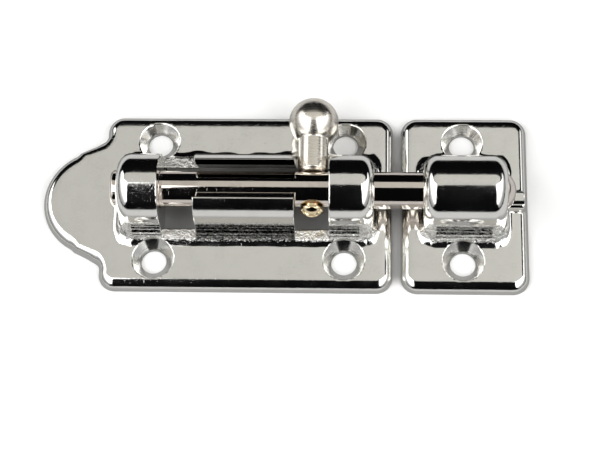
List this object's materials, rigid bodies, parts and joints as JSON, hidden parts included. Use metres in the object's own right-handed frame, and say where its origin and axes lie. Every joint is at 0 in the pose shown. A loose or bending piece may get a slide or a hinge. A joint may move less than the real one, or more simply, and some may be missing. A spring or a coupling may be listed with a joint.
{
  "type": "toggle bolt latch",
  "caption": "surface-mounted cast barrel bolt with a round sliding rod, a ball knob that turns down into a notch, and a separate keeper plate",
  "frame": {"origin": "underside of the base plate, under the guide boss and on the bolt's centreline", "axes": "+X along the bolt towards the keeper, +Y the side where the knob lies when locked, +Z off the door"},
  "size_m": [0.1058, 0.0416, 0.0163],
  "materials": {
    "chrome_casting": "chrome plate over a cast skin, faint orange peel",
    "chrome_keeper": "chrome plate over a cast skin, faint orange peel",
    "chrome_bolt": "bright chrome plate over drawn rod",
    "satin_knob": "satin nickel-toned plate with fine turning rings",
    "brass_stud": "polished brass"
  },
  "bodies": {
    "base": {"base_plate": "chrome_casting"},
    "keeper": {"keeper_plate": "chrome_keeper"},
    "bolt": {"bolt_rod": "chrome_bolt", "toggle_knob": "satin_knob", "toggle_screw": "brass_stud"}
  },
  "joints": [
    {"name": "toggle_turn", "type": "hinge", "parent": "base", "child": "bolt", "pos_m": [-0.00863, 0, 0.0087], "axis": [1, 0, 0], "range_deg": [0, 180]},
    {"name": "keeper_part", "type": "slide", "parent": "base", "child": "keeper", "axis": [1, 0, 0], "range_m": [0, 0.03]}
  ]
}
